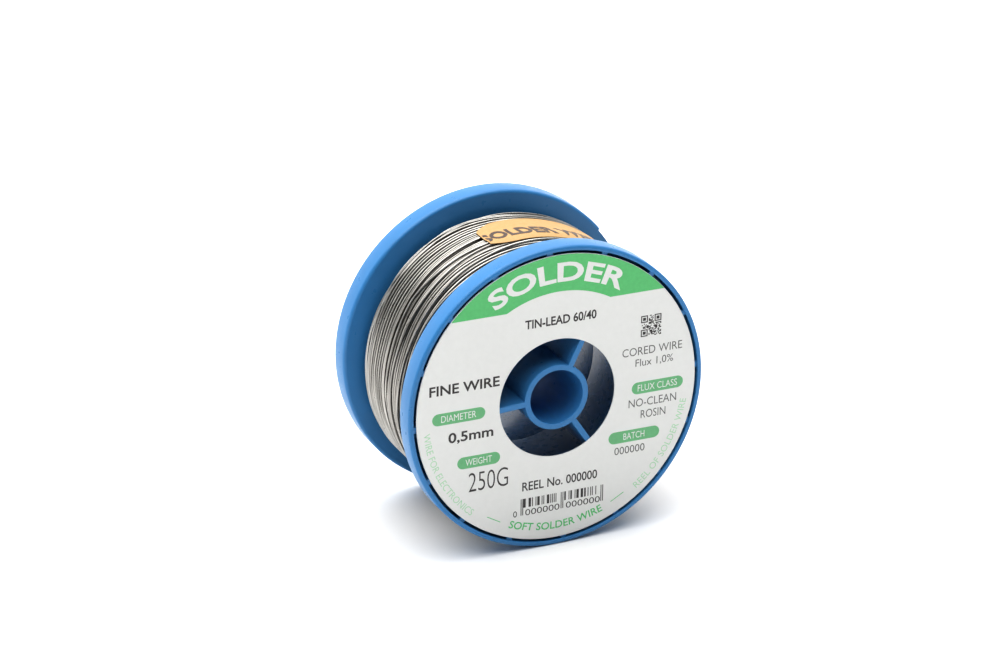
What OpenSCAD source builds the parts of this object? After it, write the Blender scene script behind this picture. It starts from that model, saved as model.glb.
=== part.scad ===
// Reel of solder wire: 250 g of 0.5 mm wire on a moulded 63 mm reel.
// The reel is moulded in two halves that meet at mid-width. A printed card
// covers the ribs of the front flange, and a paper tape holds the last turns.
// The reel's axis is Y, its card faces -Y, and it stands on its two rims with
// the origin on the axis at mid-width. Angles run from +X towards +Z.

/* [Flanges] */
// Outside diameter of the flanges
flange_d = 63; // [58:0.5:70]
// Width over both flanges
reel_w = 37.2; // [34:0.1:44]
// Width of one flange at its rim
flange_w = 4.8; // [4:0.1:6]
// Radius on the edges of the rim
rim_round = 0.6; // [0.3:0.1:0.9]
// Wall thickness of the rim
rim_wall = 1; // [0.8:0.1:1.6]
// Thickness of the web, on the wire side of the flange
web_t = 1.2; // [0.8:0.1:1.8]
// Number of ribs on the outside of each flange
flange_ribs = 16; // [8:1:24]
// Thickness of a flange rib
flange_rib_t = 1.3; // [0.8:0.1:2]
// Angle of the first flange rib
flange_rib_angle = 3; // [0:0.5:22]

/* [Barrel] */
// Outside diameter of the barrel that the wire is wound on
barrel_d = 36; // [34:0.5:44]
// Wall thickness of the barrel
barrel_wall = 1.5; // [1.2:0.1:2.5]
// Length of the tongue that joins the halves
tongue_l = 2; // [1:0.1:4]
// Width of the open line where the halves meet inside the barrel
seam_gap = 0.15; // [0.05:0.05:0.3]

/* [Hub] */
// Diameter of the bore for the spindle
bore_d = 11.2; // [10:0.1:12.4]
// Outside diameter of the hub tube
hub_d = 13.6; // [13:0.1:16]
// Number of ribs between the hub tube and the barrel
hub_ribs = 3; // [2:1:6]
// Thickness of a hub rib
hub_rib_t = 1.2; // [0.8:0.1:2]
// Angle of the first hub rib
hub_rib_angle = 63.5; // [0:0.5:120]

/* [Wire notch] */
// Depth of the shallow notch in the rear rim
notch_depth = 0.5; // [0.2:0.1:0.5]
// Angle where the notch starts
notch_angle = 26.5; // [0:0.5:180]
// Arc that the notch takes up
notch_arc = 12; // [4:1:30]

/* [Label] */
// Diameter of the printed card
label_d = 59.8; // [54:0.1:60]
// Diameter of the hole in the card
label_hole_d = 24.7; // [20:0.1:30]
// Thickness of the card
label_t = 0.3; // [0.2:0.05:0.5]
// Depth of the card's face below the rim
label_recess = 0.1; // [0:0.05:0.3]

/* [Wire] */
// Diameter over the wound wire
winding_d = 55.6; // [44:0.1:58]
// Height and width of the winding's sloping shoulders
shoulder = 2.2; // [0.5:0.1:3]
// Clearance between the wire and the plastic
winding_gap = 0.05; // [0.02:0.01:0.1]

/* [Tape] */
// Width of the paper tape
tape_w = 10.6; // [6:0.1:12]
// Thickness of the tape
tape_t = 0.15; // [0.1:0.05:0.3]
// Length of the tape round the wire
tape_l = 70; // [30:5:120]
// Distance of the tape's centre line behind mid-width
tape_y = 1.6; // [-4:0.1:4]
// Angle of the tape's visible end
tape_angle = 103.5; // [60:0.5:180]

/* [Hidden] */
$fn = 180;
flange_r = flange_d / 2;
rim_in = flange_r - rim_wall;
barrel_out = barrel_d / 2;
barrel_in = barrel_out - barrel_wall;
barrel_mid = barrel_out - barrel_wall / 2;
hub_out = hub_d / 2;
half_w = reel_w / 2;
seat = label_recess + label_t;        // depth of the ribs' ends below the rim
web_z = flange_w - web_t;             // depth of the web below the rim
winding_r = winding_d / 2;
winding_w = reel_w - 2 * flange_w - 2 * winding_gap;
bite = 0.3;                           // how far a rib runs into its walls
over = 1;                             // how far a cutter stands clear

// Points on an arc about [x, y], from angle a0 to a1
function arc(x, y, r, a0, a1, steps = 6) =
    [for (i = [0 : steps]) let (a = a0 + (a1 - a0) * i / steps) [x + r * cos(a), y + r * sin(a)]];

// Both halves are drawn with their axis along Z: the outside of the flange is
// at z = 0 and the plane where the halves meet is at z = half_w.

// Rim and web of one flange
module flange_shell() {
    rotate_extrude()
        polygon(concat(
            [[rim_in, 0]],
            arc(flange_r - rim_round, rim_round, rim_round, -90, 0),
            arc(flange_r - rim_round, flange_w - rim_round, rim_round, 0, 90),
            [[barrel_in, flange_w], [barrel_in, web_z], [rim_in, web_z]]));
}

// Ring of the given radii between two heights
module ring(r_in, r_out, z0, z1) {
    translate([0, 0, z0])
        difference() {
            cylinder(r = r_out, h = z1 - z0);
            translate([0, 0, -over]) cylinder(r = r_in, h = z1 - z0 + 2 * over);
        }
}

// Radial ribs, count of them, between two radii and two heights
module ribs(count, first, thick, r0, r1, z0, z1) {
    for (i = [0 : count - 1])
        rotate([0, 0, first + i * 360 / count])
            translate([r0 - bite, -thick / 2, z0])
                cube([r1 - r0 + 2 * bite, thick, z1 - z0]);
}

// What the two halves share; turn is +1 or -1 and keeps the ribs of both in line
module half_body(turn) {
    flange_shell();
    ring(barrel_in, barrel_mid, seat, half_w - seam_gap / 2);
    ring(barrel_mid - bite, barrel_out, seat, half_w - tongue_l);
    ring(bore_d / 2, hub_out, seat, half_w);
    ribs(flange_ribs, turn * flange_rib_angle, flange_rib_t, barrel_out, rim_in, seat, web_z + bite);
    ribs(hub_ribs, turn * hub_rib_angle, hub_rib_t, hub_out, barrel_in, seat, half_w);
}

// Front half: flange, half of the barrel and hub, and the tongue of the joint
module front_reel_half() {
    color("steelblue")
        rotate([-90, 0, 0])
            translate([0, 0, -half_w]) {
                half_body(-1);
                ring(barrel_mid, barrel_out, half_w - tongue_l - bite, half_w + tongue_l);
            }
}

// Rear half: its barrel is stepped down to sit inside the tongue
module rear_reel_half() {
    color("steelblue")
        rotate([90, 0, 0])
            translate([0, 0, -half_w])
                difference() {
                    half_body(1);
                    notch();
                }
}

// Cutter for the shallow notch across the rear rim
module notch() {
    translate([0, 0, -over])
        rotate([0, 0, notch_angle])
            rotate_extrude(angle = notch_arc)
                translate([flange_r - notch_depth, 0]) square([notch_depth + over, flange_w + 2 * over]);
}

// Printed card disc on the ribs of the front flange
module front_label() {
    color("white")
        rotate([-90, 0, 0])
            translate([0, 0, -half_w])
                ring(label_hole_d / 2, label_d / 2, label_recess, seat);
}

// The wound wire as one body, with a shoulder next to each flange
module solder_winding() {
    r_in = barrel_out + winding_gap;
    edge = winding_w / 2;
    color("silver")
        rotate([90, 0, 0])
            rotate_extrude()
                polygon([
                    [r_in, -edge], [winding_r - shoulder, -edge], [winding_r - shoulder / 4, shoulder * 0.6 - edge],
                    [winding_r, shoulder - edge], [winding_r, edge - shoulder],
                    [winding_r - shoulder / 4, edge - shoulder * 0.6], [winding_r - shoulder, edge], [r_in, edge]]);
}

// Strip of paper tape that holds the last turns down
module paper_tape() {
    arc_deg = tape_l / winding_r * 180 / PI;
    color("sandybrown")
        rotate([90, 0, 0])
            translate([0, 0, -tape_y - tape_w / 2])
                rotate([0, 0, tape_angle - arc_deg])
                    rotate_extrude(angle = arc_deg)
                        translate([winding_r, 0]) square([tape_t, tape_w]);
}

front_reel_half();
rear_reel_half();
front_label();
solder_winding();
paper_tape();
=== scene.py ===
"""Looks of a reel of solder wire: satin blue moulded reel, printed card, wound wire and paper tape.

Lengths are in millimetres until a mesh is made. Angles run from +X towards +Z, as seen from the
label side, and depths run inwards from the face of a rim.
"""
import math
import random

import bmesh
import bpy
import numpy as np
from mathutils import Matrix, Vector


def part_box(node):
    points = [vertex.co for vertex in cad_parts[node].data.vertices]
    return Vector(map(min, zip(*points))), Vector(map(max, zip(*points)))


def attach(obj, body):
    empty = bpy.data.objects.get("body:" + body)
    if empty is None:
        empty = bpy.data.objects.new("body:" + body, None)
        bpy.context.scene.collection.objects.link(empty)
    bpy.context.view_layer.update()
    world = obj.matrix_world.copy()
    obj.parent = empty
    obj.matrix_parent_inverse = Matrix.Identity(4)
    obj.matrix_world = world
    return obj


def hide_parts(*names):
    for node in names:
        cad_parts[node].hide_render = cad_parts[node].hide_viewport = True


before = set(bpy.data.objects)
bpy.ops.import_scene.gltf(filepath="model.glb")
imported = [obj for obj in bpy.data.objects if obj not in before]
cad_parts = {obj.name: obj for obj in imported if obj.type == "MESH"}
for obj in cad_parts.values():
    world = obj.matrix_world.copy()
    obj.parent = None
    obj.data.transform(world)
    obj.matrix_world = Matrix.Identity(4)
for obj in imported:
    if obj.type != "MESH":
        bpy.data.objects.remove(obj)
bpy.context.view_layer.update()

MM = 0.001
TURN = 2 * math.pi


def node_box(node):
    """Lowest and highest corner of a CAD node, in millimetres."""
    low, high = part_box(node)
    return low / MM, high / MM


# ---------------------------------------------------------------- sizes taken from the frame
front_low, front_high = node_box("front_reel_half")
label_low, label_high = node_box("front_label")
wire_high = node_box("solder_winding")[1]
tape_low, tape_high = node_box("paper_tape")

FLANGE_R = front_high.z
HALF_W = -front_low.y
TONGUE = front_high.y
LABEL_R = label_high.z
LABEL_FACE = label_low.y
LABEL_BACK = label_high.y
WINDING_R = wire_high.z
WINDING_END = wire_high.y
FLOOR_Z = front_low.z

# ---------------------------------------------------------------- sizes of the moulding
FLANGE_W = 4.8
RIM_IN = FLANGE_R - 1.0               # the rim's wall is 1 mm thick
WEB_DEPTH = 3.6
BARREL_OUT = 18.0
BARREL_IN = 16.5
BARREL_MID = 17.25
SEAM = 0.075                          # half the open line where the halves meet
HUB_OUT = 6.8
BORE_R = 5.6
SEAT = LABEL_BACK + HALF_W
LABEL_HOLE_R = 12.35
FLANGE_RIBS = 16
FLANGE_RIB_T = 1.3
FLANGE_RIB_ANGLE = 3.0
HUB_RIBS = 3
HUB_RIB_T = 1.2
HUB_RIB_ANGLE = 63.5
NOTCH_ANGLES = (26.5, 38.5)
NOTCH_R = FLANGE_R - 0.5              # the notch is half a millimetre deep
NOTCH_STEPS = 12
CUT_OVER = 1.0                        # how far a cutter stands clear
STEP_GAP = 0.02                       # between the tongue and the rear half's step
FLANGE_RIB_BITE = 0.4                 # how far a flange rib runs into its walls
HUB_RIB_BITE = 0.5                    # how far a hub rib runs into its walls
HUB_RIB_GAP = 0.01                    # between a hub rib and mid-width
LATHE_STEPS = 256

# ---------------------------------------------------------------- roundings of the moulding
RIM_ROUND = 0.6                       # rim, on the outside of the reel
RIM_ROUND_INSIDE = 0.7                # rim, on the wire side
EDGE_ROUND = 0.15                     # ribs, barrel and hub tube, at their outside ends
MOUTH_ROUND = 0.12                    # mouth of the bore and inner edge of the rim
SEAM_ROUND = 0.06                     # inner edge of the barrel at the seam
WEB_FILLET = 0.3                      # corners between the web and its walls
REEL_SHARP_DEG = 28                   # a larger turn stays a sharp edge

# ---------------------------------------------------------------- polished inner wall of the barrel, darkened with painted shade
POLISH_AND_SHADE_REACH = 0.1                    # furthest that a polished, painted-shade face lies from the wall
POLISH_AND_SHADE_MARGIN = 0.2                   # satin strip without the painted shade left at each end of the wall

# ---------------------------------------------------------------- sizes of the wire and tape
WIRE_R = 0.25
WIRE_SIDES = 8
ANGLE_STEPS = 180                     # points in one turn of wire
TAPE_T = 0.12
TAPE_END = math.radians(104)
TAPE_START = math.radians(-40)


# ================================================================ mesh helpers
def mesh_object(name, verts, faces, material, sharp_deg=35, body="root", slot=None):
    """A mesh piece from points in millimetres, smooth except where it turns by more than sharp_deg."""
    mesh = bpy.data.meshes.new(name)
    mesh.from_pydata([Vector(v) * MM for v in verts], [], faces)
    piece = bpy.data.objects.new(name, mesh)
    bpy.context.scene.collection.objects.link(piece)
    finish_mesh(mesh, sharp_deg)
    if material:
        mesh.materials.append(material)
    if body:
        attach(piece, body)
    return piece


def finish_mesh(mesh, sharp_deg):
    """Turns the faces outwards and shades them smooth up to an angle."""
    bm = bmesh.new()
    bm.from_mesh(mesh)
    bmesh.ops.recalc_face_normals(bm, faces=bm.faces)
    bm.to_mesh(mesh)
    bm.free()
    mesh.polygons.foreach_set("use_smooth", [True] * len(mesh.polygons))
    mesh.set_sharp_from_angle(angle=math.radians(sharp_deg))


def rounded(corners, steps=5):
    """Outline with each corner (x, y, radius) replaced by an arc."""
    points = []
    count = len(corners)
    for i, (x, y, radius) in enumerate(corners):
        here = Vector((x, y))
        if radius <= 0:
            points.append(tuple(here))
            continue
        before = (Vector(corners[i - 1][:2]) - here).normalized()
        after = (Vector(corners[(i + 1) % count][:2]) - here).normalized()
        half = before.angle(after) / 2
        reach = radius / math.tan(half)
        centre = here + (before + after).normalized() * (radius / math.sin(half))
        start = here + before * reach - centre
        end = here + after * reach - centre
        sweep = start.angle_signed(end)
        for k in range(steps + 1):
            turn = -sweep * k / steps
            spoke = Matrix.Rotation(turn, 2) @ start
            points.append(tuple(centre + spoke))
    return points


def polar(radius, angle, y):
    """Point at a radius and angle about the reel's axis."""
    return (radius * math.cos(angle), y, radius * math.sin(angle))


def lathe(outline, steps=LATHE_STEPS, start=0.0, sweep=TURN):
    """Points and faces of a closed outline of (radius, y) turned about the reel's axis."""
    full = abs(sweep - TURN) < 1e-6
    rings = steps if full else steps + 1
    count = len(outline)
    verts = [polar(r, start + sweep * i / steps, y) for i in range(rings) for r, y in outline]
    faces = []
    for i in range(steps):
        a, b = i * count, ((i + 1) % rings) * count
        for k in range(count):
            m = (k + 1) % count
            faces.append((a + k, a + m, b + m, b + k))
    if not full:
        faces.append(tuple(range(count)))
        faces.append(tuple(reversed(range((rings - 1) * count, rings * count))))
    return verts, faces


def prism(section, length, start, along, across, up):
    """Points and faces of a section of (across, up) run along a direction for a length."""
    verts = []
    for distance in (0, length):
        for a, u in section:
            verts.append(start + along * distance + across * a + up * u)
    n = len(section)
    faces = [(k, (k + 1) % n, n + (k + 1) % n, n + k) for k in range(n)]
    faces.append(tuple(reversed(range(n))))
    faces.append(tuple(range(n, 2 * n)))
    return verts, faces


def joined(parts):
    """One list of points and faces out of several."""
    verts, faces = [], []
    for part_verts, part_faces in parts:
        base = len(verts)
        verts.extend(part_verts)
        faces.extend(tuple(base + k for k in face) for face in part_faces)
    return verts, faces


def combine(target, parts, operation):
    """Adds or cuts solid parts on a piece with exact booleans, one part at a time."""
    for part in parts:
        tool = mesh_object("tool", *part, None, body=None)
        modifier = target.modifiers.new("combine", "BOOLEAN")
        modifier.operation = operation
        modifier.solver = "EXACT"
        modifier.object = tool
        graph = bpy.context.evaluated_depsgraph_get()
        result = bpy.data.meshes.new_from_object(target.evaluated_get(graph))
        target.modifiers.clear()
        old = target.data
        target.data = result
        bpy.data.meshes.remove(old)
        bpy.data.objects.remove(tool)


# ================================================================ materials
NOISE_LOW = 0.3                       # the noise nodes keep mostly between these two values
NOISE_HIGH = 0.7


def new_material(name, colour, roughness, metallic=0.0):
    """A material, its node tree and its Principled shader."""
    material = bpy.data.materials.new(name)
    material.use_nodes = True
    tree = material.node_tree
    shader = tree.nodes["Principled BSDF"]
    shader.inputs["Base Color"].default_value = (*colour, 1)
    shader.inputs["Roughness"].default_value = roughness
    shader.inputs["Metallic"].default_value = metallic
    return material, tree, shader


def node(tree, kind, inputs=None, **settings):
    """A shader node with its settings and input values."""
    made = tree.nodes.new(kind)
    for key, value in settings.items():
        setattr(made, key, value)
    for key, value in (inputs or {}).items():
        made.inputs[key].default_value = value
    return made


def noise_texture(tree, scale, detail=3.0, roughness=0.5, stretch=(1, 1, 1)):
    """Noise in object space; scale is in cells per metre, times the stretch along each axis."""
    place = node(tree, "ShaderNodeTexCoord")
    spread = node(tree, "ShaderNodeVectorMath", {1: stretch}, operation="MULTIPLY")
    noise = node(tree, "ShaderNodeTexNoise", {"Scale": scale, "Detail": detail, "Roughness": roughness})
    tree.links.new(place.outputs["Object"], spread.inputs[0])
    tree.links.new(spread.outputs["Vector"], noise.inputs["Vector"])
    return noise.outputs["Fac"]


def vary_colour(tree, shader, factor, low, high):
    """Base colour that runs between two colours with a factor."""
    ramp = node(tree, "ShaderNodeValToRGB")
    ramp.color_ramp.elements[0].position = NOISE_LOW
    ramp.color_ramp.elements[1].position = NOISE_HIGH
    ramp.color_ramp.elements[0].color = (*low, 1)
    ramp.color_ramp.elements[1].color = (*high, 1)
    tree.links.new(factor, ramp.inputs["Fac"])
    tree.links.new(ramp.outputs["Color"], shader.inputs["Base Color"])


def vary_value(tree, socket, factor, low, high):
    """A shader input that runs between two values with a factor."""
    limits = {"From Min": NOISE_LOW, "From Max": NOISE_HIGH, "To Min": low, "To Max": high}
    span = node(tree, "ShaderNodeMapRange", limits)
    tree.links.new(factor, span.inputs["Value"])
    tree.links.new(span.outputs["Result"], socket)


def add_bump(tree, shader, factor, depth_mm):
    """Surface relief from a factor, at a real depth."""
    bump = node(tree, "ShaderNodeBump", {"Strength": 1.0, "Distance": depth_mm * MM})
    tree.links.new(factor, bump.inputs["Height"])
    tree.links.new(bump.outputs["Normal"], shader.inputs["Normal"])


def plastic_material(name, colour, smoothest, roughest, specular):
    """Blue moulded plastic with a faint flow mottle and a fine grain."""
    material, tree, shader = new_material(name, colour, smoothest)
    shader.inputs["Specular IOR Level"].default_value = specular
    low = tuple(c * 0.95 for c in colour)
    high = tuple(c * 1.05 for c in colour)
    vary_colour(tree, shader, noise_texture(tree, 90, 4), low, high)
    vary_value(tree, shader.inputs["Roughness"], noise_texture(tree, 500, 3), smoothest, roughest)
    add_bump(tree, shader, noise_texture(tree, 900, 2), 0.004)
    return material


def card_material():
    """Smooth white printed card with faint fibres."""
    material, tree, shader = new_material("label_white_card", (0.73, 0.735, 0.72), 0.5)
    vary_colour(tree, shader, noise_texture(tree, 900, 4), (0.722, 0.727, 0.713), (0.738, 0.743, 0.729))
    vary_value(tree, shader.inputs["Roughness"], noise_texture(tree, 500, 2), 0.42, 0.55)
    add_bump(tree, shader, noise_texture(tree, 3000, 3), 0.003)
    return material


def ink_material(name, colour, spread=0.04):
    """Printing ink, slightly uneven over the card."""
    material, tree, shader = new_material(name, colour, 0.45)
    low = tuple(c * (1 - spread) for c in colour)
    high = tuple(min(1, c * (1 + spread)) for c in colour)
    vary_colour(tree, shader, noise_texture(tree, 1600, 3), low, high)
    add_bump(tree, shader, noise_texture(tree, 3000, 2), 0.002)
    return material


def wire_material(name, low, high):
    """Drawn solder wire: satin grey metal, duller on some turns than on others."""
    material, tree, shader = new_material(name, low, 0.34, metallic=1.0)
    vary_colour(tree, shader, noise_texture(tree, 60, 4, 0.6, stretch=(1, 20, 1)), low, high)
    vary_value(tree, shader.inputs["Roughness"], noise_texture(tree, 1500, 3), 0.26, 0.42)
    add_bump(tree, shader, noise_texture(tree, 3000, 2), 0.003)
    return material


def tape_material():
    """Orange printed paper tape with visible fibres."""
    material, tree, shader = new_material("tape_orange_paper", (0.56, 0.35, 0.15), 0.6)
    vary_colour(tree, shader, noise_texture(tree, 1500, 5, 0.65), (0.50, 0.31, 0.13), (0.545, 0.35, 0.16))
    vary_value(tree, shader.inputs["Roughness"], noise_texture(tree, 800, 2), 0.5, 0.68)
    add_bump(tree, shader, noise_texture(tree, 2500, 4), 0.006)
    return material


PLASTIC = plastic_material("reel_blue_plastic", (0.045, 0.21, 0.447), 0.27, 0.37, 0.4)
# Glossier copy of the plastic for the barrel's inner wall; its base colour, about half as bright as the
# outside's, is painted shade.
POLISHED_SHADED = plastic_material("reel_blue_plastic_polished_painted_shade", (0.028, 0.11, 0.22), 0.27, 0.28, 1.0)
CARD = card_material()
WIRE = wire_material("solder_wire_metal", (0.23, 0.222, 0.205), (0.58, 0.563, 0.53))
# Darker copy of the wire metal for the inner layers: painted shade, standing in for the shade in the gaps
# between the outer turns.
WIRE_PAINTED_SHADE = wire_material("solder_wire_painted_shade_metal", (0.12, 0.115, 0.105), (0.21, 0.20, 0.185))
TAPE = tape_material()
INK_GREEN = ink_material("ink_green", (0.115, 0.505, 0.185))
INK_SOFT_GREEN = ink_material("ink_soft_green", (0.16, 0.45, 0.22))
INK_PALE_GREEN = ink_material("ink_pale_green", (0.42, 0.65, 0.45))
INK_BLACK = ink_material("ink_black", (0.045, 0.04, 0.04), 0.2)
INK_GREY = ink_material("ink_grey", (0.13, 0.13, 0.127), 0.1)
INK_WHITE = ink_material("ink_white", (0.73, 0.735, 0.72), 0.02)
INK_BROWN = ink_material("ink_brown", (0.085, 0.056, 0.042), 0.2)


# ================================================================ reel halves
def radial_bar(angle_deg, thick, r0, r1, y0, y1, side):
    """A rib between two radii, with rounded edges on the outside of the reel."""
    angle = math.radians(angle_deg)
    along = Vector((math.cos(angle), 0, math.sin(angle)))
    across = Vector((-math.sin(angle), 0, math.cos(angle)))
    up = Vector((0, side, 0))
    low, high = sorted((side * y0, side * y1))
    half = thick / 2
    section = rounded([
        (-half, low, 0), (half, low, 0), (half, high, EDGE_ROUND), (-half, high, EDGE_ROUND)], 3)
    return prism(section, r1 - r0, along * r0, along, across, up)


def reel_half(name, side):
    """One moulded half; side is -1 for the front and +1 for the rear."""
    def y_at(depth):
        """Place along the reel of a depth below the face of the rim."""
        return side * (HALF_W - depth)

    # the front half carries the tongue, and the rear half is stepped down to fit inside it
    inner_end = side * SEAM
    outer_end = TONGUE if side < 0 else TONGUE + STEP_GAP
    shell = rounded([
        (RIM_IN, y_at(0), MOUTH_ROUND),
        (FLANGE_R, y_at(0), RIM_ROUND),
        (FLANGE_R, y_at(FLANGE_W), RIM_ROUND_INSIDE),
        (BARREL_OUT, y_at(FLANGE_W), 0),
        (BARREL_OUT, outer_end, 0),
        (BARREL_MID, outer_end, 0),
        (BARREL_MID, inner_end, 0),
        (BARREL_IN, inner_end, SEAM_ROUND),
        (BARREL_IN, y_at(SEAT), EDGE_ROUND),
        (BARREL_OUT, y_at(SEAT), EDGE_ROUND),
        (BARREL_OUT, y_at(WEB_DEPTH), WEB_FILLET),
        (RIM_IN, y_at(WEB_DEPTH), WEB_FILLET),
    ])
    tube = rounded([
        (BORE_R, y_at(SEAT), MOUTH_ROUND),
        (HUB_OUT, y_at(SEAT), EDGE_ROUND),
        (HUB_OUT, 0, 0),
        (BORE_R, 0, 0),
    ])
    flange_ribs = joined([
        radial_bar(FLANGE_RIB_ANGLE + i * 360 / FLANGE_RIBS, FLANGE_RIB_T,
                   BARREL_OUT - FLANGE_RIB_BITE, RIM_IN + FLANGE_RIB_BITE,
                   y_at(WEB_DEPTH + WEB_FILLET), y_at(SEAT), side)
        for i in range(FLANGE_RIBS)])
    hub_ribs = joined([
        radial_bar(HUB_RIB_ANGLE + i * 360 / HUB_RIBS, HUB_RIB_T,
                   HUB_OUT - HUB_RIB_BITE, BARREL_IN + HUB_RIB_BITE,
                   side * HUB_RIB_GAP, y_at(SEAT), side)
        for i in range(HUB_RIBS)])
    half = mesh_object(name, *lathe(shell), PLASTIC, slot="reel_plastic")
    combine(half, [flange_ribs, lathe(tube), hub_ribs], "UNION")
    if side > 0:
        start, end = (math.radians(a) for a in NOTCH_ANGLES)
        outside = HALF_W + CUT_OVER
        inside = HALF_W - FLANGE_W - CUT_OVER
        cutter = rounded([
            (NOTCH_R, outside, 0), (FLANGE_R + CUT_OVER, outside, 0),
            (FLANGE_R + CUT_OVER, inside, 0), (NOTCH_R, inside, 0)])
        combine(half, [lathe(cutter, NOTCH_STEPS, start, end - start)], "DIFFERENCE")
    finish_mesh(half.data, REEL_SHARP_DEG)
    # the barrel's inner wall takes the glossier plastic, whose darker base colour is painted shade
    half.data.materials.append(POLISHED_SHADED)
    for face in half.data.polygons:
        x, y, z = face.center / MM
        on_wall = abs(math.hypot(x, z) - BARREL_IN) < POLISH_AND_SHADE_REACH
        face.material_index = int(on_wall and abs(y) < HALF_W - SEAT - POLISH_AND_SHADE_MARGIN)
    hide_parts(name)
    return half


# ================================================================ label
CARD_EDGE = 0.06                      # rounding of the card's front edges


def label_card():
    """The card disc, with softly broken edges."""
    outline = rounded([
        (LABEL_HOLE_R, LABEL_FACE, CARD_EDGE),
        (LABEL_R, LABEL_FACE, CARD_EDGE),
        (LABEL_R, LABEL_BACK, 0),
        (LABEL_HOLE_R, LABEL_BACK, 0),
    ], 3)
    card = mesh_object("printed_label", *lathe(outline), CARD, slot="label_card")
    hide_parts("front_label")


PRINT_TILT = math.radians(-0.6)       # the print sits slightly clockwise on the reel
INK_T = 0.012                         # thickness of one layer of print
INK_SUNK = 0.004                      # how far print reaches into the card
LIGHT = -0.004                        # weight of the thin lettering


def text_shape(words, weight, slices=(1, 1)):
    """Solid mesh of some words, from 0 to 1 each way, cut into slices so that it can be bent."""
    curve = bpy.data.curves.new("words", "FONT")
    curve.body = words
    curve.size = 1.0
    curve.offset = weight
    curve.extrude = 0.5
    curve.resolution_u = 4
    holder = bpy.data.objects.new("words", curve)
    bpy.context.scene.collection.objects.link(holder)
    graph = bpy.context.evaluated_depsgraph_get()
    mesh = bpy.data.meshes.new_from_object(holder.evaluated_get(graph))
    bpy.data.objects.remove(holder)
    bpy.data.curves.remove(curve)
    bm = bmesh.new()
    bm.from_mesh(mesh)
    bpy.data.meshes.remove(mesh)
    bmesh.ops.remove_doubles(bm, verts=bm.verts, dist=1e-5)
    points = np.array([v.co for v in bm.verts])
    low, high = points.min(0), points.max(0)
    for axis, count in enumerate(slices):
        way = Vector((0, 0, 0))
        way[axis] = 1
        for k in range(1, count):
            place = Vector(low + (high - low) * k / count)
            whole = bm.verts[:] + bm.edges[:] + bm.faces[:]
            bmesh.ops.bisect_plane(bm, geom=whole, plane_co=place, plane_no=way)
    bm.verts.index_update()
    points = np.array([v.co for v in bm.verts])
    faces = [tuple(v.index for v in face.verts) for face in bm.faces]
    bm.free()
    return (points - low) / (high - low), faces


class Print:
    """Ink of one colour on the label, gathered into one piece."""

    def __init__(self, name, ink, layer=1):
        """Starts with no ink; layer 2 stands on top of layer 1."""
        self.name = name
        self.ink = ink
        self.top = layer * INK_T
        self.parts = []

    def add(self, across, up, depth, faces):
        """Adds ink at label positions; depth is 0 on the card and 1 on the ink's face."""
        turn_c, turn_s = math.cos(PRINT_TILT), math.sin(PRINT_TILT)
        x = across * turn_c - up * turn_s
        z = across * turn_s + up * turn_c
        y = LABEL_FACE + INK_SUNK - depth * (self.top + INK_SUNK)
        self.parts.append((np.stack([x, y, z], -1).tolist(), faces))

    def text(self, words, centre, size, weight):
        """Straight words centred on a point, of a given width and height."""
        points, faces = text_shape(words, weight)
        across = centre[0] + (points[:, 0] - 0.5) * size[0]
        up = centre[1] + (points[:, 1] - 0.5) * size[1]
        self.add(across, up, points[:, 2], faces)

    def arc_text(self, words, middle_deg, sweep_deg, base_r, height, weight):
        """Words round the label; a negative height puts their feet towards the rim."""
        points, faces = text_shape(words, weight)
        way = -1 if height > 0 else 1
        angle = np.radians(middle_deg + way * (points[:, 0] - 0.5) * sweep_deg)
        radius = base_r + points[:, 1] * height
        self.add(radius * np.cos(angle), radius * np.sin(angle), points[:, 2], faces)

    def bar(self, low, high):
        """A filled rectangle between two corners."""
        self.outline([(low[0], low[1]), (high[0], low[1]), (high[0], high[1]), (low[0], high[1])])

    def outline(self, points):
        """A filled outline."""
        n = len(points)
        flat = np.array(points * 2, float)
        depth = np.array([0.0] * n + [1.0] * n)
        faces = [(k, (k + 1) % n, n + (k + 1) % n, n + k) for k in range(n)]
        faces += [tuple(reversed(range(n))), tuple(range(n, 2 * n))]
        self.add(flat[:, 0], flat[:, 1], depth, faces)

    def build(self):
        """The gathered ink as one mesh piece."""
        return mesh_object(self.name, *joined(self.parts), self.ink, slot="label_card")


BAND_CHORD = 19.4                     # height of the green band's straight lower edge
BAND_R = 22.3                         # radius of the arch cut into the band
BAND_INSET = 0.07                     # from the band's rim to the card's
PILL_H = 2.5                          # height of the field behind a heading
DASH_R = (27.3, 27.15)                # outer and inner radius of the dashes beside the lowest line
DASH_REACH = 3.4                      # half the arc of a dash, in degrees


def band_outline():
    """Green band over the top of the label, arched over the alloy line."""
    edge_r = LABEL_R - BAND_INSET
    reach = math.acos(BAND_CHORD / edge_r)
    arch = math.acos(BAND_CHORD / BAND_R)
    steps = 72
    outer = [math.pi / 2 + reach - 2 * reach * i / steps for i in range(steps + 1)]
    inner = [math.pi / 2 - arch + 2 * arch * i / steps for i in range(steps + 1)]
    return ([(edge_r * math.cos(a), edge_r * math.sin(a)) for a in outer]
            + [(BAND_R * math.cos(a), BAND_R * math.sin(a)) for a in inner])


def pill_outline(centre, width):
    """Round-ended field behind a heading."""
    reach = (width - PILL_H) / 2
    points = []
    for way, first in ((1, -90), (-1, 90)):
        for k in range(13):
            a = math.radians(first + k * 15)
            points.append((centre[0] + way * reach + PILL_H / 2 * math.cos(a),
                           centre[1] + PILL_H / 2 * math.sin(a)))
    return points


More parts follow.
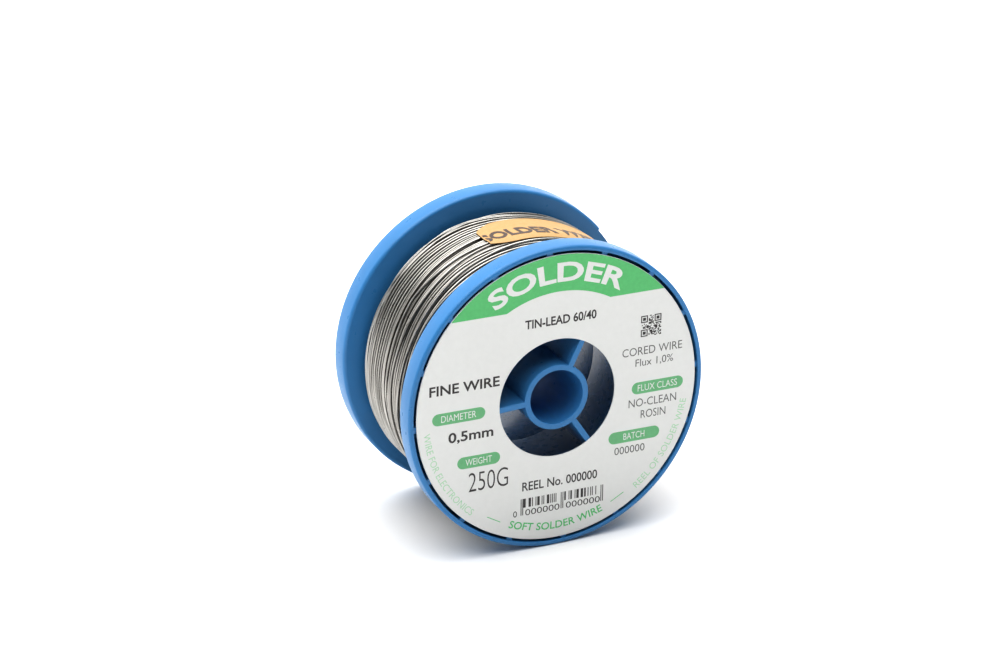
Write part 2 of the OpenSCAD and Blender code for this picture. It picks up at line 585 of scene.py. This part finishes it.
def bar_code(ink, left, right, top, foot, guard_foot):
    """A made-up bar pattern: two groups of bars between three pairs of longer guard bars."""
    modules = 95
    step = (right - left) / modules
    guards = (0, 2, 46, 48, 92, 94)
    first_end, second_start, second_end = 44, 50, 91
    draw = random.Random(11)
    place = 3
    while place < second_end:
        width = draw.choice((1, 1, 2, 3))
        if place < second_start and place + width > first_end:
            place = second_start
        if place + width <= second_end:
            ink.bar((left + place * step, foot), (left + (place + width * 0.9) * step, top))
        place += width + draw.choice((1, 1, 2, 3))
    for place in guards:
        ink.bar((left + place * step, guard_foot), (left + (place + 0.9) * step, top))


def square_code(ink, low, size):
    """A made-up square pattern of small cells with three corner marks."""
    cells = 21
    mark = 7
    middle = mark // 2
    step = size / cells
    draw = random.Random(5)
    corners = ((0, 0), (0, cells - mark), (cells - mark, cells - mark))

    def filled(i, j):
        """Whether a cell is dark: by rule in and round a corner mark, elsewhere by chance."""
        for ci, cj in corners:
            u, v = i - ci, j - cj
            if -1 <= u <= mark and -1 <= v <= mark:
                ring = max(abs(u - middle), abs(v - middle))
                return ring <= 1 or ring == middle
        return draw.random() < 0.5

    for j in range(cells):
        for i in range(cells):
            if filled(i, j):
                ink.bar((low[0] + i * step, low[1] + j * step),
                        (low[0] + (i + 1) * step, low[1] + (j + 1) * step))


def label_print():
    """Generic print in the places and weights that such a label has."""
    green = Print("label_print_green", INK_GREEN)
    soft = Print("label_print_soft_green", INK_SOFT_GREEN)
    pale = Print("label_print_pale_green", INK_PALE_GREEN)
    black = Print("label_print_black", INK_BLACK)
    grey = Print("label_print_grey", INK_GREY)
    white = Print("label_print_white", INK_WHITE, layer=2)

    green.outline(band_outline())
    white.arc_text("SOLDER", 90.4, 66, 24.2, 4.1, 0.03)
    black.text("TIN-LEAD 60/40", (0.5, 16.4), (15.2, 1.9), 0.02)

    black.text("FINE WIRE", (-19.8, 5.7), (14.8, 2.1), 0.018)
    pills = (("DIAMETER", (-21.0, -0.35), 11.2, 7.4), ("WEIGHT", (-16.7, -10.4), 9.1, 5.6),
             ("FLUX CLASS", (21.7, -1.0), 11.2, 8.6), ("BATCH", (16.8, -10.9), 11.1, 4.6))
    for words, centre, width, text_width in pills:
        soft.outline(pill_outline(centre, width))
        white.text(words, centre, (text_width, 1.4), 0)
    black.text("0,5mm", (-18.4, -4.8), (9.5, 2.5), 0.018)
    black.text("250G", (-14.6, -14.8), (8.4, 4.0), -0.012)

    square_code(black, (17.8, 9.8), 4.4)
    grey.text("CORED WIRE", (20.4, 6.9), (13.0, 1.7), LIGHT)
    grey.text("Flux 1,0%", (20.9, 4.3), (8.2, 1.8), LIGHT)
    grey.text("NO-CLEAN", (20.7, -4.1), (10.4, 1.7), LIGHT)
    grey.text("ROSIN", (20.9, -6.7), (5.4, 1.7), LIGHT)
    grey.text("000000", (15.9, -13.8), (6.6, 1.6), LIGHT)

    black.text("REEL No. 000000", (0.8, -17.8), (16.2, 1.9), 0.01)
    bar_code(black, -7.6, 10.3, -20.4, -22.3, -23.9)
    black.text("000000", (-2.9, -23.4), (7.4, 1.3), LIGHT)
    black.text("000000", (5.9, -23.4), (7.4, 1.3), LIGHT)
    black.text("0", (-8.8, -23.4), (0.8, 1.3), LIGHT)
    green.arc_text("SOFT SOLDER WIRE", -90, 43, 28.0, -1.6, 0.012)
    for middle in (-119.5, -60.5):
        start, end = (math.radians(middle + d) for d in (-DASH_REACH, DASH_REACH))
        outer, inner = DASH_R
        corners = ((outer, start), (outer, end), (inner, end), (inner, start))
        green.outline([(r * math.cos(a), r * math.sin(a)) for r, a in corners])
    pale.arc_text("WIRE FOR ELECTRONICS", -152, 44, 28.6, -1.4, LIGHT)
    pale.arc_text("REEL OF SOLDER WIRE", -31, 42, 28.6, -1.4, LIGHT)

    for ink in (green, soft, pale, black, grey, white):
        ink.build()


# ================================================================ wire
class Winding:
    """Lays turns of wire on what is already wound, and keeps the height of the top surface."""

    CELL = 0.05
    NOWHERE = -1e9                    # height given where a wire doesn't reach

    def __init__(self):
        """Starts with the surface of the inner layers."""
        self.grid = np.arange(-WINDING_END, WINDING_END + self.CELL, self.CELL)
        self.top = np.tile(core_radius(self.grid), (ANGLE_STEPS, 1))

    def arched(self, base, y):
        """Base radius raised by the round of a wire at y, over the grid."""
        gap = self.grid[None, :] - y[:, None]
        lift = np.sqrt(np.clip(WIRE_R ** 2 - gap ** 2, 0, None))
        return np.where(np.abs(gap) < WIRE_R, base + lift, self.NOWHERE)

    def rest(self, column, y):
        """Radius of a wire's centre where it lies on the surface at an angle column."""
        return self.arched(self.top[column], y).max(1)

    def cover(self, column, y, radius):
        """Raises the surface to the top of a wire laid there."""
        np.maximum.at(self.top, column, self.arched(radius[:, None], y))


OUTER_LAYERS_T = 1.57                 # depth that the outer layers take up
SHOULDER_W = 2.3                      # width of the inner layers' shoulders
SHOULDER_FALL = 0.95                  # how much a shoulder falls for its width
CLOSEST_PITCH = 2.02 * WIRE_R
REST_SPREAD = 3                       # neighbours on each side that even out a wire's height
DIVE_STEPS = 12                       # points over which a layer's ends sink out of sight
DIVE_DEPTH = 2.4 * WIRE_R


def core_radius(y):
    """Surface of the inner layers: level in the middle, falling towards both flanges."""
    crown = WINDING_R - OUTER_LAYERS_T
    slope = np.clip(np.abs(y) - (WINDING_END - SHOULDER_W), 0, None)
    return crown - SHOULDER_FALL * slope


def smooth_noise(rng, length, spacing):
    """Smooth random curve of unit size, with knots a number of samples apart."""
    knots = rng.normal(size=int(length / spacing) + 4)
    place = np.arange(length) / spacing
    i = place.astype(int)
    f = place - i
    f = f * f * (3 - 2 * f)
    return knots[i] * (1 - f) + knots[i + 1] * f


def lay_positions(rng, y0, y1, mean_gap, gap_swing):
    """Positions along the reel of one layer's turns, from y0 to y1, never closer than a diameter."""
    width = abs(y1 - y0)
    turns = int(width / (2 * WIRE_R)) + 3
    total = turns * ANGLE_STEPS
    gap = mean_gap + gap_swing * (0.7 * smooth_noise(rng, total, ANGLE_STEPS / 3.1)
                                  + 0.6 * smooth_noise(rng, total, ANGLE_STEPS / 8.7)
                                  + 0.4 * smooth_noise(rng, total, ANGLE_STEPS * 1.3))
    pitch = CLOSEST_PITCH + np.clip(gap, 0, None)
    s = np.zeros(total)
    s[:ANGLE_STEPS] = np.linspace(0, pitch[0], ANGLE_STEPS, endpoint=False)
    for t in range(ANGLE_STEPS, total):
        s[t] = s[t - ANGLE_STEPS] + pitch[t - ANGLE_STEPS]
    s = s[s <= width]
    count = len(s) if len(s) == total else int(np.argmax(np.diff(s) < -1)) or len(s)
    return y0 + np.sign(y1 - y0) * s[:count]


HANG = 0.95                           # slack of the turns that hang loose, low on the left
HANG_ANGLE = math.radians(219)
HANG_FOCUS = 5                        # the higher, the shorter the arc that is slack
BULGE = 0.7                           # slack of the turns under the tape
BULGE_ANGLE = math.radians(42)
BULGE_FOCUS = 16


def slack(angle):
    """How far the outer turns stand off the ones below."""
    hanging = HANG * np.cos(angle - HANG_ANGLE).clip(0, None) ** HANG_FOCUS
    taped = BULGE * np.cos(angle - BULGE_ANGLE).clip(0, None) ** BULGE_FOCUS
    return hanging + taped


def evened(values, gather):
    """Each value replaced by the largest or the mean, as gather says, of it and its neighbours."""
    padded = np.pad(values, REST_SPREAD, mode="edge")
    return gather([padded[k:k + len(values)] for k in range(2 * REST_SPREAD + 1)], 0)


def wire_layer(name, winding, rng, material, y0, y1, mean_gap, gap_swing, loose):
    """One layer of turns as round wire that lies on the layers below."""
    y = lay_positions(rng, y0, y1, mean_gap, gap_swing)
    count = len(y)
    first = int(rng.integers(10, 40))
    column = (first + np.arange(count)) % ANGLE_STEPS
    angle = column * TURN / ANGLE_STEPS
    radius = winding.rest(column, y)
    radius = evened(evened(radius, np.max), np.mean)
    winding.cover(column, y, radius)
    radius = radius + loose * slack(angle)
    dive = np.minimum(np.arange(count), np.arange(count)[::-1]) / DIVE_STEPS
    radius = radius - DIVE_DEPTH * np.clip(1 - dive, 0, 1) ** 2
    return mesh_object(name, *wire_tube(angle, y, radius), material, sharp_deg=80, slot="solder_wire")


def wire_tube(angle, y, radius):
    """Round wire through points given by angle, y and radius about the reel's axis."""
    out = np.stack([np.cos(angle), np.zeros_like(angle), np.sin(angle)], -1)
    centre = out * radius[:, None] + np.stack([np.zeros_like(y), y, np.zeros_like(y)], -1)
    forward = np.gradient(centre, axis=0)
    forward /= np.linalg.norm(forward, axis=1)[:, None]
    side = np.cross(forward, out)
    side /= np.linalg.norm(side, axis=1)[:, None]
    out = np.cross(side, forward)
    verts = []
    for k in range(WIRE_SIDES):
        a = TURN * k / WIRE_SIDES
        verts.append(centre + WIRE_R * (math.cos(a) * out + math.sin(a) * side))
    verts = np.stack(verts, 1).reshape(-1, 3)
    faces = []
    for i in range(len(y) - 1):
        a, b = i * WIRE_SIDES, (i + 1) * WIRE_SIDES
        for k in range(WIRE_SIDES):
            m = (k + 1) % WIRE_SIDES
            faces.append((a + k, a + m, b + m, b + k))
    last = (len(y) - 1) * WIRE_SIDES
    faces.append(tuple(range(WIRE_SIDES)))
    faces.append(tuple(reversed(range(last, last + WIRE_SIDES))))
    return verts.tolist(), faces


def wound_wire():
    """The inner layers as one body, and the outer layers turn by turn."""
    rng = np.random.default_rng(21)
    winding = Winding()
    edge = WINDING_END
    steps = np.linspace(-edge, edge, 45)
    foot = BARREL_OUT + 0.05
    outline = [(foot, -edge)] + list(zip(core_radius(steps), steps)) + [(foot, edge)]
    # the inner body takes the darker metal, painted shade seen through the gaps of the outer turns
    core = mesh_object("solder_wire_inner_layers", *lathe(outline, 128), WIRE_PAINTED_SHADE,
                       sharp_deg=50, slot="solder_wire")
    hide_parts("solder_winding")
    margin = edge - WIRE_R
    # name, metal, where the layer starts and ends, mean gap between turns, its swing, share of slack
    layers = (
        # the two inner layers take the darker metal, painted shade between the outer turns
        ("solder_wire_layer_1", WIRE_PAINTED_SHADE, -margin, margin, 0.01, 0.03, 0.2),
        ("solder_wire_layer_2", WIRE_PAINTED_SHADE, margin - 0.6, 0.6 - margin, 0.05, 0.12, 0.5),
        ("solder_wire_layer_3", WIRE, 0.5 - margin, margin - 1.6, 0.30, 0.30, 1.0),
        ("solder_wire_last_turns", WIRE, 4.5 - margin, 1.0, 1.9, 0.9, 1.0),
    )
    for name, metal, start, end, mean_gap, gap_swing, loose in layers:
        wire_layer(name, winding, rng, metal, start, end, mean_gap, gap_swing, loose)
    return winding


# ================================================================ tape
TAPE_ROWS = 150
TAPE_COLUMNS = 26
WORN_CURVE = 1.5                      # how hollow the worn corners are cut
REAR_WORN_DEG = 7.0                   # how far the rear corner is worn back round the reel
REAR_WORN_FROM = 0.78                 # where that wear starts, over the tape's width
REAR_WORN_W = 0.22
FRONT_WORN = 1.3                      # how far the front corner is worn back along the reel
FRONT_WORN_RATE = 14                  # the front's wear takes 1/14 of the tape's length
STIFF_REACH = 14                      # cells on each side that the paper spans
STIFF_PASSES = 12                     # rounds of levelling
TAPE_LIFT = 0.12                      # air between the wire and the paper


def around(radius, angle, y):
    """Points at arrays of radius, angle and place along the reel."""
    return np.stack([radius * np.cos(angle), y, radius * np.sin(angle)], -1)


def tape_end(across):
    """Angle of the visible end, over the tape's width from 0 at the front to 1 at the rear."""
    worn = np.clip((across - REAR_WORN_FROM) / REAR_WORN_W, 0, None) ** WORN_CURVE
    return TAPE_END - np.radians(REAR_WORN_DEG * worn)


def tape_front(t):
    """Front edge of the tape from its visible end on; the corner there is worn back."""
    return tape_low.y + FRONT_WORN * np.clip(1 - FRONT_WORN_RATE * t, 0, 1) ** WORN_CURVE


def tape_strip(winding):
    """Paper tape pressed over the outer turns; returns the radius of its upper side as a grid."""
    t, across = np.meshgrid(np.linspace(0, 1, TAPE_ROWS), np.linspace(0, 1, TAPE_COLUMNS), indexing="ij")
    end = tape_end(across)
    angle = end + (TAPE_START - end) * t
    y = tape_front(t) + (tape_high.y - tape_front(t)) * across
    under = tape_height(winding, angle, y)
    points = [around(r, angle, y).reshape(-1, 3) for r in (under, under + TAPE_T)]
    verts = np.concatenate(points).tolist()
    n = TAPE_COLUMNS
    layer = n * TAPE_ROWS
    faces = []
    for i in range(TAPE_ROWS - 1):
        for k in range(n - 1):
            a = i * n + k
            faces.append((a, a + 1, a + n + 1, a + n))
            faces.append((layer + a, layer + a + n, layer + a + n + 1, layer + a + 1))
    last = TAPE_ROWS - 1
    rim = (list(range(n)) + [i * n + n - 1 for i in range(1, last + 1)]
           + [last * n + k for k in range(n - 2, -1, -1)] + [i * n for i in range(last - 1, 0, -1)])
    for p, q in zip(rim, rim[1:] + rim[:1]):
        faces.append((p, q, layer + q, layer + p))
    strip = mesh_object("orange_paper_tape", verts, faces, TAPE, sharp_deg=50, slot="tape_paper")
    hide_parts("paper_tape")
    return under + TAPE_T


def on_tape(top, angle, y):
    """Radius of the tape's upper side at an angle and a place along the reel."""
    t = np.zeros_like(angle)
    # the front edge depends on t and t on the place across, so both settle in a few rounds
    for _ in range(3):
        across = np.clip((y - tape_front(t)) / (tape_high.y - tape_front(t)), 0, 1)
        end = tape_end(across)
        t = np.clip((end - angle) / (end - TAPE_START), 0, 1)
    row = t * (TAPE_ROWS - 1)
    column = across * (TAPE_COLUMNS - 1)
    i = np.clip(row.astype(int), 0, TAPE_ROWS - 2)
    k = np.clip(column.astype(int), 0, TAPE_COLUMNS - 2)
    along, aside = row - i, column - k
    near = top[i, k] * (1 - aside) + top[i, k + 1] * aside
    far = top[i + 1, k] * (1 - aside) + top[i + 1, k + 1] * aside
    return near * (1 - along) + far * along


TAPE_TEXT_START = math.radians(105.5)
TAPE_TEXT_CUT = math.radians(103.4)
TAPE_TEXT_L = 36.0
TAPE_TEXT_H = 4.4
TAPE_TEXT_FOOT = -1.5
TAPE_TEXT_DRIFT = 1.2                 # how far the words slant towards the front
TAPE_TEXT_WEIGHT = 0.038
TAPE_TEXT_SLICES = (90, 12)
TAPE_INK_SUNK = 0.02                  # how far the print reaches into the paper
TAPE_INK_T = 0.05


def tape_print(top):
    """Words along the tape, their first letter cut off by its end."""
    points, faces = text_shape("SOLDER WIRE REEL", TAPE_TEXT_WEIGHT, TAPE_TEXT_SLICES)
    angle = TAPE_TEXT_START - points[:, 0] * TAPE_TEXT_L / WINDING_R
    drift = TAPE_TEXT_DRIFT * np.clip(2 * points[:, 0], 0, 1)
    y = TAPE_TEXT_FOOT + points[:, 1] * TAPE_TEXT_H - drift
    r = on_tape(top, angle, y) - TAPE_INK_SUNK + points[:, 2] * TAPE_INK_T
    verts = around(r, angle, y).tolist()
    words = mesh_object("tape_print", verts, faces, INK_BROWN, slot="tape_paper")
    bm = bmesh.new()
    bm.from_mesh(words.data)
    cut_way = Vector((-math.sin(TAPE_TEXT_CUT), 0, math.cos(TAPE_TEXT_CUT)))
    whole = bm.verts[:] + bm.edges[:] + bm.faces[:]
    cut = bmesh.ops.bisect_plane(bm, geom=whole, plane_co=(0, 0, 0), plane_no=cut_way, clear_outer=True)
    bmesh.ops.holes_fill(bm, edges=[e for e in cut["geom_cut"] if isinstance(e, bmesh.types.BMEdge)])
    bm.to_mesh(words.data)
    bm.free()


def tape_height(winding, angle, y):
    """Radius of the tape's underside: the wire's surface, levelled by the paper's stiffness."""
    column = np.round(angle / TURN * ANGLE_STEPS).astype(int) % ANGLE_STEPS
    cell = np.round((y + WINDING_END) / Winding.CELL).astype(int)
    tall = np.max([winding.top[column, np.clip(cell + d, 0, len(winding.grid) - 1)]
                   for d in range(-STIFF_REACH, STIFF_REACH + 1)], 0)
    for axis in (0, 1):
        for _ in range(STIFF_PASSES):
            level = (np.roll(tall, 1, axis) + 2 * tall + np.roll(tall, -1, axis)) / 4
            inner = [slice(None), slice(None)]
            inner[axis] = slice(1, -1)
            tall[tuple(inner)] = level[tuple(inner)]
    return tall + slack(angle) + TAPE_LIFT


# ================================================================ floor, light and camera
LABEL_UNIT = LABEL_R * MM
CAMERA_AZIMUTH = math.radians(-24.55)
CAMERA_ELEVATION = math.radians(23.03)
# the label's centre is this far right of, below and beyond the camera, in label radii
CAMERA_OFFSET = (0.3734, 0.4174, 28.471)
CAMERA_LENS = 157.7
SENSOR_W = 36
SURROUND_DIM = 0.02
SURROUND_SIDE = 0.42
SURROUND_BRIGHT = 0.9
SURROUND_STRENGTH = 2.0
FLOOR_WHITE = 0.82
FLOOR_REACH = 4000
LAMP_SPREAD = math.radians(80)
LAMP_STRENGTH = 4.2
LAMP_WAY = Vector((0.10, 0.0, -1.0))
VIEW_GAMMA = 0.8                      # below 1, for harder contrast


def camera():
    """Camera at the picture's viewing angle, level and aimed with no shift."""
    a, e = CAMERA_AZIMUTH, CAMERA_ELEVATION
    right = Vector((math.cos(a), math.sin(a), 0))
    forward = Vector((-math.sin(a) * math.cos(e), math.cos(a) * math.cos(e), -math.sin(e)))
    up = right.cross(forward)
    data = bpy.data.cameras.new("camera")
    data.lens = CAMERA_LENS
    data.sensor_width = SENSOR_W
    data.clip_start = 0.01
    made = bpy.data.objects.new("camera", data)
    across, below, beyond = CAMERA_OFFSET
    target = Vector((0, LABEL_FACE * MM, 0))
    place = target - (right * across - up * below + forward * beyond) * LABEL_UNIT
    basis = Matrix((right, up, -forward)).transposed()
    made.matrix_world = Matrix.Translation(place) @ basis.to_4x4()
    bpy.context.scene.collection.objects.link(made)
    bpy.context.scene.camera = made


def studio_world():
    """Soft surround: dim in front and overhead, rising to a bright backdrop behind the reel."""
    world = bpy.context.scene.world or bpy.data.worlds.new("world")
    bpy.context.scene.world = world
    world.use_nodes = True
    tree = world.node_tree
    place = node(tree, "ShaderNodeTexCoord")
    along = node(tree, "ShaderNodeVectorMath", {1: (0, 0.5, 0)}, operation="DOT_PRODUCT")
    shift = node(tree, "ShaderNodeMath", {1: 0.5}, operation="ADD")
    ramp = node(tree, "ShaderNodeValToRGB")
    ramp.color_ramp.elements[0].position = 0.25
    ramp.color_ramp.elements[0].color = (SURROUND_DIM, SURROUND_DIM, SURROUND_DIM, 1)
    ramp.color_ramp.elements[1].position = 1.0
    ramp.color_ramp.elements[1].color = (SURROUND_BRIGHT, SURROUND_BRIGHT, SURROUND_BRIGHT, 1)
    side = ramp.color_ramp.elements.new(0.45)
    side.color = (SURROUND_SIDE, SURROUND_SIDE, SURROUND_SIDE, 1)
    tree.links.new(place.outputs["Generated"], along.inputs[0])
    tree.links.new(along.outputs["Value"], shift.inputs[0])
    tree.links.new(shift.outputs["Value"], ramp.inputs["Fac"])
    tree.links.new(ramp.outputs["Color"], tree.nodes["Background"].inputs["Color"])
    tree.nodes["Background"].inputs["Strength"].default_value = SURROUND_STRENGTH


def stage():
    """White floor under one broad soft light from above and a little to the left."""
    material, tree, shader = new_material("white_floor", (FLOOR_WHITE, FLOOR_WHITE, FLOOR_WHITE), 0.9)
    shader.inputs["Specular IOR Level"].default_value = 0.1
    ways = ((-1, -1), (1, -1), (1, 1), (-1, 1))
    corners = [(x * FLOOR_REACH, y * FLOOR_REACH, FLOOR_Z) for x, y in ways]
    floor = mesh_object("floor", corners, [(0, 1, 2, 3)], material, body=None)
    data = bpy.data.lights.new("overhead_light", "SUN")
    data.angle = LAMP_SPREAD
    data.energy = LAMP_STRENGTH
    light = bpy.data.objects.new("overhead_light", data)
    light.rotation_euler = LAMP_WAY.to_track_quat("-Z", "Y").to_euler()
    bpy.context.scene.collection.objects.link(light)
    studio_world()
    view = bpy.context.scene.view_settings
    view.view_transform = "Standard"
    view.gamma = VIEW_GAMMA


camera()
stage()
reel_half("front_reel_half", -1).name = "blue_reel_front"
reel_half("rear_reel_half", 1).name = "blue_reel_rear"
label_card()
label_print()
wound = wound_wire()
tape_print(tape_strip(wound))
